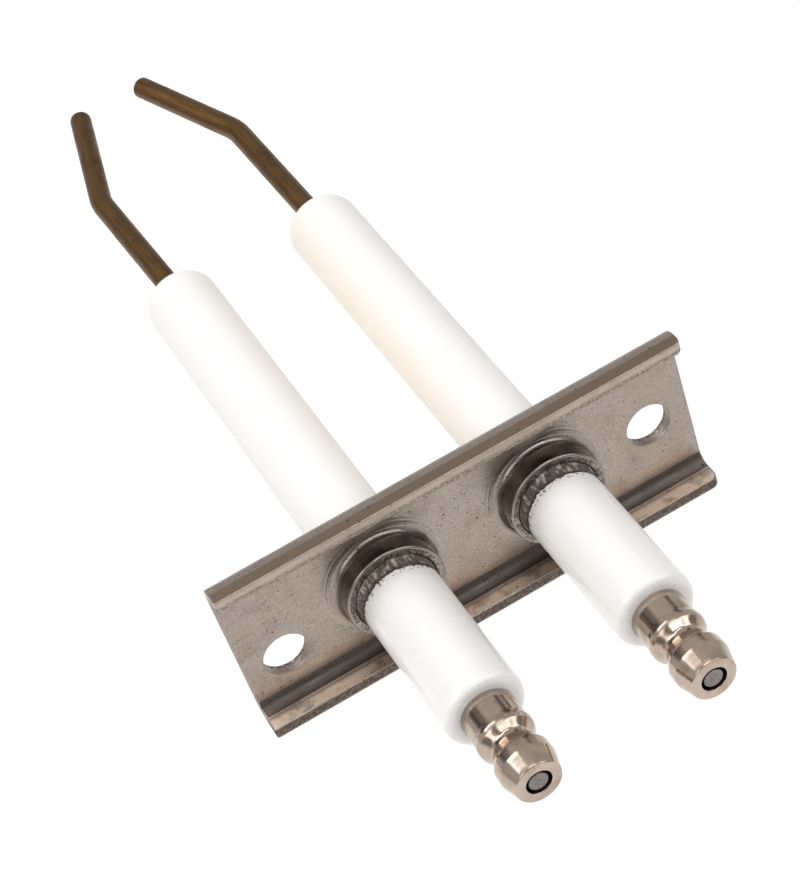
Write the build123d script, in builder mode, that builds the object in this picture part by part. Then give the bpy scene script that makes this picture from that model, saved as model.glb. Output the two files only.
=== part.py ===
"""Dual ignition electrode for an oil or gas burner.

Two ceramic-insulated spark rods stand side by side in one pressed steel bracket.
X runs along the bracket, Y along the electrodes with the spark tips at +Y and the
lead terminals at -Y, and Z across the bracket's width.  The origin lies on the
bracket's flat seating face, half way between the two electrodes.
"""
import os

from build123d import *

os.makedirs("parts", exist_ok=True)

# Bracket: one pressed sheet, a flat web with a flange bent back along each long side
sheet = 1.5                # thickness of the sheet
bracket_length = 58.4      # along X
web_top = 11.8             # from the electrodes' plane to the upper flange's outer face
web_bottom = 10.6          # from the electrodes' plane to the lower flange's outer face
upper_flange_depth = 4.5   # from the seating face to the upper flange's edge
lower_flange_depth = 5.1   # from the seating face to the lower flange's edge
bend_radius = 1.5          # inside radius of both bends
flange_corner_left = 0.3   # rounding of the flanges' free corners at the bracket's left end
flange_corner_right = 1.0  # the same at its right end
hole_diameter = 5.5        # clearance holes for M5 screws
hole_spacing = 48.0        # along X
left_hole_drop = 3.2       # the left hole lies this far below the electrodes' plane
right_hole_drop = 0.0      # the right hole lies in the electrodes' plane

# Collars drawn out of the web, one round each insulator
electrode_spacing = 20.8
collar_height = 3.2        # from the web's rear face to the rim
collar_wall = 0.95         # the sheet is thinned by drawing
collar_root_radius = 0.9   # fillet between the web's rear face and the collar
collar_mouth_radius = 1.0  # rounding of the collar's mouth on the seating face
collar_gap = 0.30          # radial room for the packing between collar and insulator

# Insulators
insulator_diameter = 9.5
insulator_front = 60.5     # from the seating face to the front end
insulator_rear = 26.2      # from the seating face to the rear end
front_rounding = 2.0
rear_rounding = 1.0
rod_play = 0.15            # radial room of the rod in the insulator's bore

# Spark rods
rod_diameter = 3.0
tail_diameter = 2.3        # the turned-down end that carries the terminal
tail_recess = 0.15         # the tail ends this far inside the terminal's end face
rod_bend_radius = 10.0
rod_lean_radius = 20.0     # where a rod leans away from its own axis in front of the insulator
rod_tip_chamfer = 0.3
straight_run = 2.5         # the rod leaves the insulator straight for this far
left_bend_offset = -0.8    # how far the left rod's bend lies off its own axis, along X
left_bend_y = 87.0
left_tip_x = -6.4
left_tip_y = 108.0
right_bend_offset = -0.35
right_bend_y = 87.3
right_tip_x = 3.45
right_tip_y = 107.9

# Terminals
terminal_length = 11.3     # from the insulator's end face to the end of the head
terminal_base_diameter = 6.4
terminal_bead_diameter = 6.65
terminal_neck_diameter = 5.0
terminal_head_diameter = 6.5
terminal_face_diameter = 5.3
bead_start = 3.3           # distances from the insulator's end face
bead_end = 4.6
neck_start = 5.4
neck_end = 6.0
head_start = 7.7
head_taper_start = 9.0
terminal_eye_diameter = 3.0
terminal_eye_depth = 1.2
stem_diameter = 4.8        # the stem inside the insulator
stem_length = 6.0
stem_groove_depth = 0.3
stem_groove_width = 0.8
tail_fit = 0.02            # radial clearance of the tail in the terminal

# Packing and cement
seat_gap = 0.02            # face clearance of loose seats
packing_lip = 1.7          # how far the packing stands out of the collar
packing_lip_thickness = 0.12
stem_cement_gap = 0.35     # radial thickness of the cement round the stem
front_cement_depth = 5.0
front_cement_gap = 0.55    # radial thickness of the cement round the rod

# Derived sizes
insulator_radius = insulator_diameter / 2
rod_radius = rod_diameter / 2
tail_radius = tail_diameter / 2
bore_radius = rod_radius + rod_play
collar_inner_radius = insulator_radius + collar_gap
collar_outer_radius = collar_inner_radius + collar_wall
collar_rim = sheet + collar_height
stem_radius = stem_diameter / 2
stem_bore_radius = stem_radius + stem_cement_gap
front_pocket_radius = rod_radius + front_cement_gap
terminal_end = insulator_rear + terminal_length
stem_end = insulator_rear - stem_length
rod_shoulder = stem_end - seat_gap
tail_length = terminal_end - tail_recess - rod_shoulder
outer_bend_radius = bend_radius + sheet
half_length = bracket_length / 2
selection_margin = 0.01    # how far a wanted edge may lie from its nominal place

electrode_x = {"left": -electrode_spacing / 2, "right": electrode_spacing / 2}
hole_place = {
    "left": (-hole_spacing / 2, -left_hole_drop),
    "right": (hole_spacing / 2, -right_hole_drop),
}
rod_points = {
    "left": [(left_bend_offset, left_bend_y), (left_tip_x + electrode_spacing / 2, left_tip_y)],
    "right": [(right_bend_offset, right_bend_y), (right_tip_x - electrode_spacing / 2, right_tip_y)],
}


def axis_at(side):
    """The electrode's own axis: a line along Y through its place in the bracket."""
    return Axis((electrode_x[side], 0, 0), (0, 1, 0))


def lathe_plane(side):
    """Plane whose first direction is the electrode's radius and whose second is +Y."""
    return Plane(origin=(electrode_x[side], 0, 0), x_dir=(1, 0, 0), z_dir=(0, 0, 1))


# Bracket ------------------------------------------------------------------------
with BuildPart() as bracket:
    # U-shaped section in the YZ plane, drawn round the sheet's outline
    with BuildSketch(Plane.YZ.offset(-half_length)):
        with BuildLine():
            Polyline(
                (0, -web_bottom),
                (0, web_top),
                (-upper_flange_depth, web_top),
                (-upper_flange_depth, web_top - sheet),
                (-sheet, web_top - sheet),
                (-sheet, sheet - web_bottom),
                (-lower_flange_depth, sheet - web_bottom),
                (-lower_flange_depth, -web_bottom),
                close=True,
            )
        make_face()
    extrude(amount=bracket_length)
    long_edges = bracket.edges().filter_by(Axis.X)
    front_corners = long_edges.filter_by_position(Axis.Y, -selection_margin, selection_margin)
    fillet(front_corners, outer_bend_radius)
    long_edges = bracket.edges().filter_by(Axis.X)
    rear_corners = long_edges.filter_by_position(
        Axis.Y, -sheet - selection_margin, -sheet + selection_margin
    )
    fillet(rear_corners, bend_radius)
    # Rounded free corners of the flanges
    upright_edges = bracket.edges().filter_by(Axis.Z)
    flange_depths = (upper_flange_depth, lower_flange_depth)
    free_corners = upright_edges.filter_by_position(
        Axis.Y, -max(flange_depths) - selection_margin, -min(flange_depths) + selection_margin
    )
    fillet(free_corners.filter_by_position(Axis.X, -half_length, 0), flange_corner_left)
    # The first fillet changed the part's edges, so the right-hand ones are picked afresh
    free_corners = bracket.edges().filter_by(Axis.Z).filter_by_position(
        Axis.X, half_length - selection_margin, half_length + selection_margin
    )
    free_corners = free_corners.filter_by_position(
        Axis.Y, -max(flange_depths) - selection_margin, -min(flange_depths) + selection_margin
    )
    fillet(free_corners, flange_corner_right)
    # Collars drawn out of the web
    for side in electrode_x:
        with BuildSketch(lathe_plane(side)):
            with BuildLine():
                root = collar_outer_radius + collar_root_radius
                Polyline(
                    (root, -sheet),
                    (root, -sheet / 2),
                    (collar_inner_radius, -sheet / 2),
                    (collar_inner_radius, -collar_rim),
                    (collar_outer_radius, -collar_rim),
                    (collar_outer_radius, -sheet - collar_root_radius),
                )
                RadiusArc(
                    (collar_outer_radius, -sheet - collar_root_radius),
                    (root, -sheet),
                    -collar_root_radius,
                )
            make_face()
        revolve(axis=axis_at(side))
    # Bores of the collars, with a rounded mouth on the seating face
    for side in electrode_x:
        with BuildSketch(lathe_plane(side)):
            with BuildLine():
                mouth = collar_inner_radius + collar_mouth_radius
                Polyline(
                    (mouth, 0),
                    (0, 0),
                    (0, -collar_rim),
                    (collar_inner_radius, -collar_rim),
                    (collar_inner_radius, -collar_mouth_radius),
                )
                RadiusArc(
                    (collar_inner_radius, -collar_mouth_radius),
                    (mouth, 0),
                    collar_mouth_radius,
                )
            make_face()
        revolve(axis=axis_at(side), mode=Mode.SUBTRACT)
    # Screw holes
    for hole_x, hole_z in hole_place.values():
        with BuildSketch(Plane(origin=(hole_x, 0, hole_z), x_dir=(1, 0, 0), z_dir=(0, -1, 0))):
            Circle(hole_diameter / 2)
        extrude(amount=sheet, mode=Mode.SUBTRACT)
bracket.part.label = "bracket"
export_step(bracket.part, "parts/bracket.step")


# Insulators ---------------------------------------------------------------------
def make_insulator(side):
    """Ceramic tube with a pocket for the front cement and a counterbore for the stem."""
    with BuildPart() as insulator:
        with BuildSketch(lathe_plane(side)):
            with BuildLine():
                Polyline(
                    (bore_radius, -stem_end + seat_gap),
                    (stem_bore_radius, -stem_end + seat_gap),
                    (stem_bore_radius, -insulator_rear),
                    (insulator_radius, -insulator_rear),
                    (insulator_radius, insulator_front),
                    (front_pocket_radius, insulator_front),
                    (front_pocket_radius, insulator_front - front_cement_depth),
                    (bore_radius, insulator_front - front_cement_depth),
                    close=True,
                )
            make_face()
        revolve(axis=axis_at(side))
        end_edges = insulator.edges().filter_by(GeomType.CIRCLE)
        fillet(end_edges.group_by(Axis.Y)[-1].sort_by(SortBy.RADIUS)[-1], front_rounding)
        end_edges = insulator.edges().filter_by(GeomType.CIRCLE)
        fillet(end_edges.group_by(Axis.Y)[0].sort_by(SortBy.RADIUS)[-1], rear_rounding)
    return insulator


# Spark rods ---------------------------------------------------------------------
def make_rod(side):
    """Round rod: turned-down tail, straight run through the insulator, one bend, tip."""
    bend, tip = rod_points[side]
    axis_x = electrode_x[side]
    leave = (0, insulator_front + straight_run)
    with BuildPart() as rod:
        # Both radii follow the path: the lean is gentle, the bend is tight
        with BuildLine():
            corners = [(0, -rod_shoulder), leave, bend, tip]
            radii = [rod_lean_radius, rod_bend_radius]
            FilletPolyline(*[(axis_x + x, y, 0) for x, y in corners], radius=radii)
        with BuildSketch(Plane(origin=(axis_x, -rod_shoulder, 0), z_dir=(0, 1, 0))):
            Circle(rod_radius)
        sweep()
        tip_face = rod.faces().sort_by_distance((axis_x + tip[0], tip[1], 0))[0]
        chamfer(tip_face.edges(), rod_tip_chamfer)
        with BuildSketch(Plane(origin=(axis_x, -rod_shoulder, 0), z_dir=(0, -1, 0))):
            Circle(tail_radius)
        extrude(amount=tail_length)
    return rod


# Terminals ----------------------------------------------------------------------
def make_terminal(side):
    """Turned snap terminal: grooved stem, base, bead, hollow neck and tapered head."""
    bore = tail_radius + tail_fit
    base = terminal_base_diameter / 2
    bead = terminal_bead_diameter / 2
    neck = terminal_neck_diameter / 2
    head = terminal_head_diameter / 2
    face = terminal_face_diameter / 2
    eye = terminal_eye_diameter / 2
    seat = -insulator_rear - seat_gap
    end = -terminal_end
    with BuildPart() as terminal:
        with BuildSketch(lathe_plane(side)):
            with BuildLine():
                Polyline(
                    (bore, end + terminal_eye_depth),
                    (bore, -stem_end),
                    (stem_radius, -stem_end),
                    (stem_radius, seat),
                    (base, seat),
                    (base, -insulator_rear - bead_start),
                )
                # The bead is an arc that stands on the base
                bead_middle = (bead_start + bead_end) / 2
                ThreePointArc(
                    (base, -insulator_rear - bead_start),
                    (bead, -insulator_rear - bead_middle),
                    (base, -insulator_rear - bead_end),
                )
                Polyline(
                    (base, -insulator_rear - bead_end),
                    (neck, -insulator_rear - neck_start),
                    (neck, -insulator_rear - neck_end),
                    (head, -insulator_rear - head_start),
                    (head, -insulator_rear - head_taper_start),
                    (face, end),
                    (eye, end),
                    (eye, end + terminal_eye_depth),
                    (bore, end + terminal_eye_depth),
                )
            make_face()
        revolve(axis=axis_at(side))
        # Grooves that key the stem in its cement
        groove_step = stem_length / 3
        for number in (1, 2):
            groove_y = -insulator_rear + number * groove_step
            with BuildSketch(lathe_plane(side)):
                with Locations((stem_radius - stem_groove_depth / 2, groove_y)):
                    Rectangle(stem_groove_depth, stem_groove_width)
            revolve(axis=axis_at(side), mode=Mode.SUBTRACT)
    return terminal


# Packing and cement ---------------------------------------------------------------
def make_packing(side):
    """Packing ring that fills the collar and stands out of it in a short tapered lip."""
    lip_end = -collar_rim - packing_lip
    with BuildPart() as packing:
        with BuildSketch(lathe_plane(side)):
            with BuildLine():
                Polyline(
                    (insulator_radius, -collar_mouth_radius),
                    (collar_inner_radius, -collar_mouth_radius),
                    (collar_inner_radius, -collar_rim),
                    (insulator_radius + packing_lip_thickness, lip_end),
                    (insulator_radius, lip_end),
                    close=True,
                )
            make_face()
        revolve(axis=axis_at(side))
    return packing


def make_front_cement(side):
    """Ring of cement that holds the rod in the insulator's front pocket."""
    with BuildPart() as front_cement:
        with BuildSketch(lathe_plane(side)):
            with BuildLine():
                Polyline(
                    (rod_radius, insulator_front - front_cement_depth),
                    (front_pocket_radius, insulator_front - front_cement_depth),
                    (front_pocket_radius, insulator_front),
                    (rod_radius, insulator_front),
                    close=True,
                )
            make_face()
        revolve(axis=axis_at(side))
    return front_cement


def make_stem_cement(side):
    """Sleeve of cement round the terminal's stem."""
    with BuildPart() as stem_cement:
        with BuildSketch(lathe_plane(side)):
            with BuildLine():
                Polyline(
                    (stem_radius, -stem_end),
                    (stem_bore_radius, -stem_end),
                    (stem_bore_radius, -insulator_rear),
                    (stem_radius, -insulator_rear),
                    close=True,
                )
            make_face()
        revolve(axis=axis_at(side))
    return stem_cement


makers = {
    "insulator": make_insulator,
    "rod": make_rod,
    "terminal": make_terminal,
    "packing": make_packing,
    "front_cement": make_front_cement,
    "stem_cement": make_stem_cement,
}
for kind, make in makers.items():
    for side in electrode_x:
        piece = make(side)
        piece.part.label = f"{kind}_{side}"
        export_step(piece.part, f"parts/{kind}_{side}.step")
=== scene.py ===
# Dual ignition electrode: two ceramic-insulated spark rods in one pressed steel bracket.
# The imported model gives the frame. Shapes are written in millimetres and stored in metres.
import math

import bmesh
import bpy
import numpy as np
from mathutils import Matrix, Vector


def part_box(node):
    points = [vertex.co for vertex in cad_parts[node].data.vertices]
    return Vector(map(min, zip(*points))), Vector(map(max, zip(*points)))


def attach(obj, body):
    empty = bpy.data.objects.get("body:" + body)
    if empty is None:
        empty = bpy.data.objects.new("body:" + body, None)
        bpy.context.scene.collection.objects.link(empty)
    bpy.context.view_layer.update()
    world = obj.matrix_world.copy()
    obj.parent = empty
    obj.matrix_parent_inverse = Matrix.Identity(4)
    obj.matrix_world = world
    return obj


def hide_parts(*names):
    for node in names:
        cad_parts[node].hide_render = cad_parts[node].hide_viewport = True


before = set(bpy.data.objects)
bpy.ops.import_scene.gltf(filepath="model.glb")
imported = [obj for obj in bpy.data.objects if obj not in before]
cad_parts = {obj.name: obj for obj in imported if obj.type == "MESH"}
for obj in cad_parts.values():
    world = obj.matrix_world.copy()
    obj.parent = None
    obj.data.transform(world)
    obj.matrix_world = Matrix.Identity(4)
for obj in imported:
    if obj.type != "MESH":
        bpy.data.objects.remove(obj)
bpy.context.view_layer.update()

mm = 0.001
sides = ("left", "right")
print("stage: frame loaded,", len(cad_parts), "nodes")


# places taken from the frame, in millimetres
def boxOf(node):
    low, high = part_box(node)
    return np.array(low) / mm, np.array(high) / mm


bracketLow, bracketHigh = boxOf("bracket")
axisX = {}
for side in sides:
    low, high = boxOf("insulator_" + side)
    axisX[side] = (low[0] + high[0]) / 2
insulatorLow, insulatorHigh = boxOf("insulator_left")
insulatorRadius = (insulatorHigh[0] - insulatorLow[0]) / 2
insulatorRear = insulatorLow[1]
insulatorFront = insulatorHigh[1]
packingLow, packingHigh = boxOf("packing_left")
collarInner = (packingHigh[0] - packingLow[0]) / 2
frontCementLow, frontCementHigh = boxOf("front_cement_left")
frontPocketRadius = (frontCementHigh[0] - frontCementLow[0]) / 2
stemCementLow, stemCementHigh = boxOf("stem_cement_left")
stemBoreRadius = (stemCementHigh[0] - stemCementLow[0]) / 2
terminalLow, terminalHigh = boxOf("terminal_left")
beadRadius = (terminalHigh[0] - terminalLow[0]) / 2
rodLow, rodHigh = boxOf("rod_left")
rodRadius = (rodHigh[2] - rodLow[2]) / 2


# outlines and grids
def roundCorners(rounded, step, arcStep=0.12, closed=False):
    # An outline through corners, each given as (a, b, radius). A corner with a radius becomes
    # a circular arc that is tangent to both sides: centre = corner + bisector * radius /
    # sin(half angle), and the arc turns evenly from one tangent point to the other. Straight
    # stretches are divided so that no piece is longer than step.
    corners = [np.array(c[:2], float) for c in rounded]
    last = len(corners) - 1
    stretches = []
    for index, corner in enumerate(corners):
        radius = rounded[index][2]
        if radius <= 0 or (not closed and index in (0, last)):
            stretches.append(corner[None, :])
            continue
        before = corners[index - 1] - corner
        after = corners[(index + 1) % len(corners)] - corner
        before /= np.linalg.norm(before)
        after /= np.linalg.norm(after)
        half = math.acos(np.clip(before @ after, -1, 1)) / 2
        reach = radius / math.tan(half)
        bisector = (before + after) / np.linalg.norm(before + after)
        centre = corner + bisector * radius / math.sin(half)
        start = corner + before * reach - centre
        end = corner + after * reach - centre
        turn = math.pi - 2 * half
        # at least 3 chords, and 6 to the radian
        count = max(3, int(math.ceil(turn * radius / arcStep)), int(turn * 6))
        share = np.linspace(0, 1, count + 1)[:, None]
        arc = (start * np.sin((1 - share) * turn) + end * np.sin(share * turn)) / math.sin(turn)
        stretches.append(centre + arc)
    if closed:
        stretches.append(stretches[0][:1])
    points = [stretches[0]]
    for stretch in stretches[1:]:
        gap = stretch[0] - points[-1][-1]
        count = max(1, int(math.ceil(np.linalg.norm(gap) / step)))
        share = np.linspace(0, 1, count + 1)[1:-1, None]
        points.append(points[-1][-1] + gap * share)
        points.append(stretch)
    return np.vstack(points)


def arcLength(points):
    # running length along a row of points
    steps = np.linalg.norm(np.diff(points, axis=0), axis=1)
    return np.concatenate([[0], np.cumsum(steps)])


def roughness(u, v, seed, waves=24, low=3, high=40):
    # sum of sines in u (whole turns, so that it closes) and v, each with its own phase;
    # the result runs from about -1 to 1
    random = np.random.default_rng(seed)
    turns = random.integers(low, high, waves)
    pitches = random.uniform(-1, 1, waves)
    phases = random.uniform(0, 6.28, waves)
    total = np.zeros(np.broadcast(u, v).shape)
    for turn, pitch, phase in zip(turns, pitches, phases):
        total += np.sin(turn * u + pitch * turn * v + phase)
    return total / math.sqrt(waves * 2)


def lathe(profile, centre, turns):
    # surface of revolution about the electrode's axis: x = centre + r cos a, y = y,
    # z = r sin a, for the profile's points (r, y) and angles a from 0 to one full turn
    angle = np.linspace(0, 2 * math.pi, turns + 1)
    angle[-1] = 0
    radius = profile[:, 0][:, None]
    grid = np.empty((len(profile), turns + 1, 3))
    grid[..., 0] = centre + radius * np.cos(angle)
    grid[..., 1] = profile[:, 1][:, None]
    grid[..., 2] = radius * np.sin(angle)
    turn = np.linspace(0, 1, turns + 1)
    around = np.broadcast_to(turn, grid.shape[:2])
    along = np.broadcast_to(arcLength(profile)[:, None], grid.shape[:2])
    return grid, around, along


weldReach = 0.002  # points nearer than this become one
sliverLength = 0.0005  # and edges shorter than this are dissolved


def gridMesh(name, patches, sharpAngle=40):
    # patches: (grid of points in mm, u, v, {attribute: value on each grid point}). Each grid
    # becomes quads, seams and poles are welded, and the normals are turned outwards.
    points = []
    corners = []
    layers = {"u": [], "v": []}
    names = sorted({key for patch in patches for key in patch[3]})
    for key in names:
        layers[key] = []
    offset = 0
    for grid, u, v, extra in patches:
        rows, columns = grid.shape[:2]
        index = np.arange(rows * columns).reshape(rows, columns) + offset
        quads = np.stack(
            [index[:-1, :-1], index[:-1, 1:], index[1:, 1:], index[1:, :-1]], axis=-1
        ).reshape(-1, 4)
        corners.append(quads)
        points.append(grid.reshape(-1, 3))
        layers["u"].append(np.broadcast_to(u, (rows, columns)).ravel())
        layers["v"].append(np.broadcast_to(v, (rows, columns)).ravel())
        for key in names:
            layers[key].append(np.broadcast_to(extra.get(key, 0.0), (rows, columns)).ravel())
        offset += rows * columns
    points = np.vstack(points) * mm
    corners = np.vstack(corners)
    mesh = bpy.data.meshes.new(name)
    mesh.vertices.add(len(points))
    mesh.vertices.foreach_set("co", points.ravel())
    mesh.loops.add(corners.size)
    mesh.loops.foreach_set("vertex_index", corners.ravel())
    mesh.polygons.add(len(corners))
    mesh.polygons.foreach_set("loop_start", np.arange(0, corners.size, 4))
    mesh.update(calc_edges=True)
    uvLayer = mesh.uv_layers.new(name="skin")
    values = {key: np.concatenate(layer) for key, layer in layers.items()}
    uv = np.stack([values["u"], values["v"]], axis=-1)[corners.ravel()]
    uvLayer.data.foreach_set("uv", uv.ravel())
    for key in names:
        attribute = mesh.attributes.new(key, "FLOAT", "CORNER")
        attribute.data.foreach_set("value", values[key][corners.ravel()])
    work = bmesh.new()
    work.from_mesh(mesh)
    bmesh.ops.remove_doubles(work, verts=work.verts, dist=weldReach * mm)
    bmesh.ops.dissolve_degenerate(work, edges=work.edges, dist=sliverLength * mm)
    bmesh.ops.recalc_face_normals(work, faces=work.faces)
    loose = sum(1 for edge in work.edges if len(edge.link_faces) != 2)
    work.to_mesh(mesh)
    work.free()
    mesh.shade_smooth()
    mesh.set_sharp_from_angle(angle=math.radians(sharpAngle))
    piece = bpy.data.objects.new(name, mesh)
    bpy.context.scene.collection.objects.link(piece)
    print("made", name, len(mesh.vertices), "vertices,", loose, "open edges")
    return piece


# node helpers for the materials
def newMaterial(name):
    material = bpy.data.materials.new(name)
    material.use_nodes = True
    tree = material.node_tree
    shader = tree.nodes["Principled BSDF"]
    return material, tree, shader


def addNode(tree, kind, inputs=None, **settings):
    node = tree.nodes.new(kind)
    for key, value in settings.items():
        setattr(node, key, value)
    for key, value in (inputs or {}).items():
        if hasattr(value, "is_output"):
            tree.links.new(value, node.inputs[key])
        else:
            node.inputs[key].default_value = value
    return node


def noise(tree, vector, scale, detail, rough=0.55):
    node = addNode(
        tree, "ShaderNodeTexNoise",
        {"Vector": vector, "Scale": scale, "Detail": detail, "Roughness": rough},
    )
    return node.outputs["Fac"]


def remap(tree, value, fromLow, fromHigh, toLow=0.0, toHigh=1.0):
    node = addNode(
        tree, "ShaderNodeMapRange",
        {"Value": value, "From Min": fromLow, "From Max": fromHigh, "To Min": toLow, "To Max": toHigh},
    )
    return node.outputs["Result"]


def maths(tree, operation, first, second=0.0):
    node = addNode(tree, "ShaderNodeMath", {0: first, 1: second}, operation=operation)
    return node.outputs[0]


def times(tree, first, second):
    return maths(tree, "MULTIPLY", first, second)


def painted(tree, name):
    # a value stored on the mesh, 0 on a piece that has none
    return addNode(tree, "ShaderNodeAttribute", attribute_name=name).outputs["Fac"]


def ownPlace(tree):
    return addNode(tree, "ShaderNodeTexCoord").outputs["Object"]


def ownSkin(tree):
    return addNode(tree, "ShaderNodeUVMap", uv_map="skin").outputs["UV"]


def blendColour(tree, factor, first, second):
    node = addNode(tree, "ShaderNodeMix", {"Factor": factor}, data_type="RGBA")
    for slotIndex, value in ((6, first), (7, second)):
        if hasattr(value, "is_output"):
            tree.links.new(value, node.inputs[slotIndex])
        else:
            node.inputs[slotIndex].default_value = (*value, 1.0)
    return node.outputs[2]


def stretched(tree, vector, scale, location=(0, 0, 0)):
    node = addNode(tree, "ShaderNodeMapping", {"Vector": vector, "Scale": scale, "Location": location})
    return node.outputs["Vector"]


def rareSpots(tree, place, scale, channel, limit, inner, outer):
    # round spots, only in those cells of a pattern whose random colour passes the limit
    cells = addNode(tree, "ShaderNodeTexVoronoi", {"Vector": place, "Scale": scale}, feature="F1")
    near = remap(tree, cells.outputs["Distance"], inner, outer, 1, 0)
    chosen = addNode(tree, "ShaderNodeSeparateColor", {"Color": cells.outputs["Color"]})
    rare = maths(tree, "GREATER_THAN", chosen.outputs[channel], limit)
    return times(tree, near, rare)


def paint(tree, shader, colour, rough, metallic):
    tree.links.new(colour, shader.inputs["Base Color"])
    tree.links.new(rough, shader.inputs["Roughness"])
    shader.inputs["Metallic"].default_value = metallic


def bump(tree, shader, height, distance, strength):
    node = addNode(
        tree, "ShaderNodeBump", {"Height": height, "Distance": distance, "Strength": strength}
    )
    tree.links.new(node.outputs["Normal"], shader.inputs["Normal"])


# bracket steel: dull rolled sheet, fine pits, burnished drawn walls with painted shade, torn sheared
# edges, painted shade inside the bends, a painted reflection on the lower flange
steelLook = dict(
    plain=(0.415, 0.36, 0.325),
    dark=(0.24, 0.202, 0.178),
    stain=(0.38, 0.315, 0.262),
    pit=(0.035, 0.027, 0.022),
    cutFace=(0.43, 0.36, 0.30),
    torn=(0.42, 0.355, 0.305),
    tornShade=(0.19, 0.155, 0.13),
    tornDark=(0.085, 0.07, 0.06),
    # painted shade on the drawn collar walls
    drawn=(0.17, 0.148, 0.13),
    # painted shade for the inside of both bends
    creased=(0.115, 0.095, 0.082),
    # darker brown for the outside of the upper flange's flat stretch
    millSkin=(0.235, 0.175, 0.13),
    # painted reflection, and painted highlight line, on the inside of the lower flange
    tarnish=(0.92, 0.78, 0.66),
    cloudScale=130,
    smearScale=420,
    grainScale=6200,
    streakScale=(160, 2600, 2600),
    tearScale=2900,
    pitScale=1150,
    handledFrom=0.016,
    handledTo=0.022,
    roughLow=0.28,
    roughHigh=0.44,
    bumpDepth=0.00001,
)


def makeSteel():
    look = steelLook
    material, tree, shader = newMaterial("rolledSteel")
    place = ownPlace(tree)
    sheared = painted(tree, "sheared")
    drawn = painted(tree, "drawn")
    cloud = noise(tree, place, look["cloudScale"], 4)
    smear = noise(tree, place, look["smearScale"], 3)
    grain = noise(tree, place, look["grainScale"], 2)
    streak = noise(tree, stretched(tree, place, look["streakScale"]), 1.0, 3)
    colour = blendColour(tree, remap(tree, cloud, 0.38, 0.7, 0, 0.7), look["plain"], look["stain"])
    colour = blendColour(tree, remap(tree, grain, 0.42, 0.68, 0, 0.8), colour, look["dark"])
    colour = blendColour(tree, remap(tree, streak, 0.5, 0.8, 0, 0.35), colour, look["dark"])
    colour = blendColour(tree, remap(tree, smear, 0.56, 0.72, 0, 0.35), colour, look["dark"])
    # handling stains gather towards the right-hand hole
    along = addNode(tree, "ShaderNodeSeparateXYZ", {"Vector": place}).outputs["X"]
    nearHole = remap(tree, along, look["handledFrom"], look["handledTo"])
    handled = times(tree, nearHole, remap(tree, smear, 0.42, 0.62))
    colour = blendColour(tree, times(tree, handled, 0.3), colour, look["stain"])
    # the outside of the upper flange's flat stretch is made a darker brown
    skin = times(tree, painted(tree, "millSkin"), remap(tree, smear, 0.25, 0.6, 0.75, 1.0))
    colour = blendColour(tree, skin, colour, look["millSkin"])
    # the inside of the lower flange is painted bright as a reflection, with a painted highlight line at its
    # bend's end
    tarnish = times(tree, painted(tree, "tarnish"), remap(tree, smear, 0.36, 0.50, 0.25, 1.0))
    colour = blendColour(tree, tarnish, colour, look["tarnish"])
    # the inside of both bends is painted dark as shade
    creased = painted(tree, "creased")
    colour = blendColour(tree, times(tree, creased, 0.92), colour, look["creased"])
    # sparse round pits of two sizes
    largePits = rareSpots(tree, place, look["pitScale"], "Red", 0.90, 0.1, 0.2)
    smallPits = rareSpots(tree, place, look["pitScale"] * 2.1, "Red", 0.86, 0.13, 0.26)
    pits = maths(tree, "MAXIMUM", largePits, smallPits)
    colour = blendColour(tree, times(tree, pits, 0.85), colour, look["pit"])
    # the drawn collar walls are painted darker as shade; their lower roughness below is the real burnish
    colour = blendColour(tree, times(tree, drawn, 0.9), colour, look["drawn"])
    # cut faces: light where burnished, dark and crumbly where torn
    cutColour = blendColour(tree, remap(tree, smear, 0.45, 0.7, 0, 0.6), look["cutFace"], look["stain"])
    cut = painted(tree, "cut")
    colour = blendColour(tree, cut, colour, cutColour)
    tear = noise(tree, place, look["tearScale"], 4, 0.65)
    tearLight = blendColour(tree, cut, look["tornShade"], look["torn"])
    tearColour = blendColour(tree, remap(tree, tear, 0.44, 0.60), look["tornDark"], tearLight)
    colour = blendColour(tree, sheared, colour, tearColour)
    rough = remap(tree, smear, 0.3, 0.7, look["roughLow"], look["roughHigh"])
    rough = maths(tree, "SUBTRACT", rough, times(tree, drawn, 0.17))
    rough = maths(tree, "ADD", rough, times(tree, sheared, 0.15))
    rough = maths(tree, "ADD", rough, times(tree, creased, 0.12))
    paint(tree, shader, colour, rough, 1.0)
    tearHeight = times(tree, times(tree, tear, sheared), 8.0)
    height = maths(tree, "ADD", times(tree, grain, 0.9), tearHeight)
    height = maths(tree, "SUBTRACT", height, times(tree, pits, 3.0))
    height = maths(tree, "ADD", height, times(tree, streak, 0.5))
    bump(tree, shader, height, look["bumpDepth"], 0.7)
    return material


mouldLineAngle = dict(left=25.0, right=158.0)  # round each insulator, in degrees

# insulator: white alumina, matt in front of the bracket and glazed behind it. A stain grows
# on one flank of each front barrel: side is that flank's direction along x.
ceramicLook = dict(
    white=(0.755, 0.745, 0.73),
    cream=(0.755, 0.665, 0.55),
    grey=(0.76, 0.745, 0.72),
    speck=(0.20, 0.13, 0.08),
    stain=dict(left=dict(side=1.0, amount=0.35), right=dict(side=-1.0, amount=0.85)),
    cloudScale=(90, 30, 90),
    fineScale=1500,
    speckScale=330,
    flakeScale=2400,
    flakePlace=-0.0065,
    roughFront=0.62,
    roughRear=0.22,
    bumpDepth=0.00002,
)


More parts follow.
